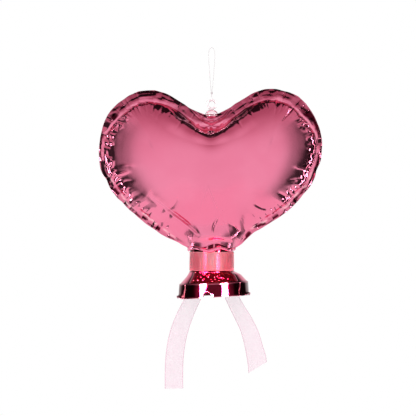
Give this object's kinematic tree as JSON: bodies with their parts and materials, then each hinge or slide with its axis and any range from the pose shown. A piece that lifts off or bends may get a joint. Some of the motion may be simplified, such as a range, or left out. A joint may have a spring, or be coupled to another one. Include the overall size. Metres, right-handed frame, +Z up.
{
  "type": "heart-shaped foil balloon ornament",
  "caption": "Puffed metallic heart with a crimped flat seam, a flared balloon mouth, a sheer ribbon tied round the neck and a clear cap with a hanging loop.",
  "frame": {"origin": "inside of the top of the hanging loop, where it rests on its hook", "axes": "+Z up along the loop, -Y out of the front of the heart, +X to the right seen from the front"},
  "size_m": [0.18, 0.0653, 0.2757],
  "materials": {
    "heart_foil": "vacuum-metallised pink, mirror bright, crinkled along the seam",
    "mouth_foil": "vacuum-metallised deep red, mirror bright",
    "clear_plastic": "clear moulded plastic, glossy",
    "organza": "sheer pink organza ribbon with a fine plain weave and firmer selvedges",
    "clear_thread": "clear nylon monofilament"
  },
  "bodies": {
    "loop": {"hanging_cord": "clear_thread", "cord_knot": "clear_thread"},
    "heart": {"front_shell": "heart_foil", "back_shell": "heart_foil", "cap_sleeve": "heart_foil", "hanger_cap": "clear_plastic", "mouth": "mouth_foil", "ribbon_band": "organza", "ribbon_knot": "organza"},
    "tail_left": {"ribbon_tail_left": "organza"},
    "tail_right": {"ribbon_tail_right": "organza"}
  },
  "joints": [
    {"name": "heart_swing", "type": "hinge", "parent": "loop", "child": "heart", "pos_m": [0, 0, -0.0431], "axis": [0, 1, 0], "range_deg": [-55, 55]},
    {"name": "tail_left_lift", "type": "hinge", "parent": "heart", "child": "tail_left", "pos_m": [-0.0032, 0.0232, -0.1762], "axis": [1, 0, 0], "range_deg": [0, 70]},
    {"name": "tail_right_lift", "type": "hinge", "parent": "heart", "child": "tail_right", "pos_m": [0.0032, 0.0232, -0.1762], "axis": [1, 0, 0], "range_deg": [0, 70]}
  ]
}
